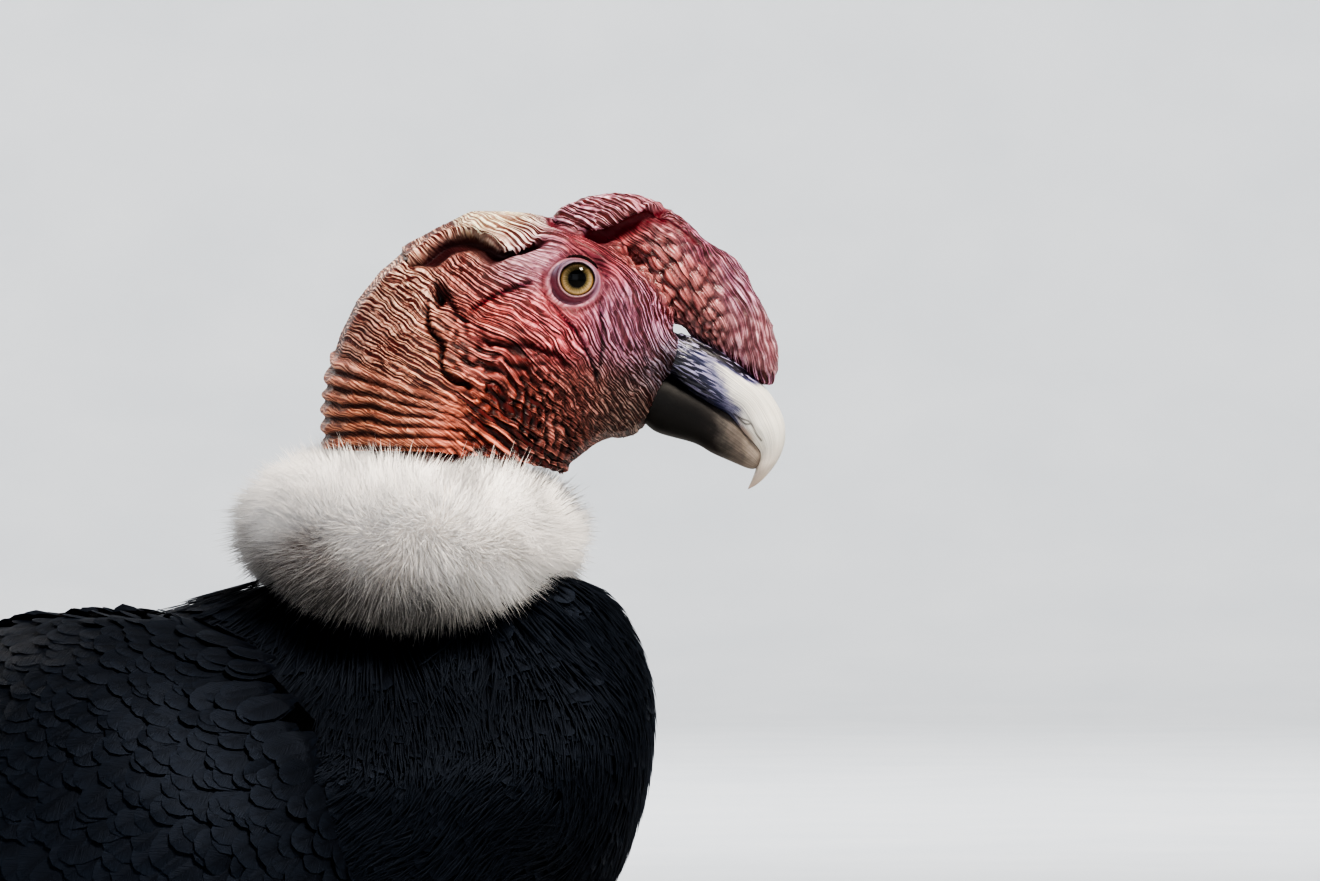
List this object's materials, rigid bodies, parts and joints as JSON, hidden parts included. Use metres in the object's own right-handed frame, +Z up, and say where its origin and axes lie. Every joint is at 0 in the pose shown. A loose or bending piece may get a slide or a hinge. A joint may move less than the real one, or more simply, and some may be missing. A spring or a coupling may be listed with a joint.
{
  "type": "andean condor model",
  "caption": "Still, life-size male Andean condor standing on the floor, wings folded, neck drawn into its white ruff, head in profile.",
  "frame": {"origin": "on the floor, under the middle of the bird's length and width", "axes": "+X towards the bill, the way the bird faces; +Y towards the bird's left; +Z up"},
  "size_m": [0.8162, 0.309, 0.7237],
  "materials": {
    "face_skin": "bare folded skin, deep pink to mauve",
    "neck_skin": "bare ringed skin, orange tan with cream crests",
    "comb_skin": "fleshy cobbled comb, deep red with pale crests",
    "bill_ivory": "smooth horn, ivory hook over an indigo-black base",
    "bill_dark": "smooth dark horn with a grey tip",
    "eye": "wet clear cornea over an amber-olive iris",
    "white_down": "deep soft white down",
    "black_feather": "blue-black contour and flight feathers, satin",
    "white_feather": "flight feathers with white outer vanes",
    "leg_scale": "grey pebbled and plated leg skin",
    "claw": "dark worn horn"
  },
  "bodies": {
    "root": {"head": "face_skin", "neck": "neck_skin", "comb": "comb_skin", "bill_upper": "bill_ivory", "bill_lower": "bill_dark", "eye_right": "eye", "eye_left": "eye", "ruff": "white_down", "trunk": "black_feather", "tail": "black_feather", "wing_right_coverts": "black_feather", "wing_right_secondaries": "white_feather", "wing_right_primaries": "black_feather", "wing_left_coverts": "black_feather", "wing_left_secondaries": "white_feather", "wing_left_primaries": "black_feather", "thigh_right": "black_feather", "thigh_left": "black_feather", "shank_right": "leg_scale", "shank_left": "leg_scale", "toe_right_inner": "leg_scale", "toe_right_middle": "leg_scale", "toe_right_outer": "leg_scale", "toe_right_hind": "leg_scale", "toe_left_inner": "leg_scale", "toe_left_middle": "leg_scale", "toe_left_outer": "leg_scale", "toe_left_hind": "leg_scale", "claw_right_inner": "claw", "claw_right_middle": "claw", "claw_right_outer": "claw", "claw_right_hind": "claw", "claw_left_inner": "claw", "claw_left_middle": "claw", "claw_left_outer": "claw", "claw_left_hind": "claw"}
  },
  "joints": []
}
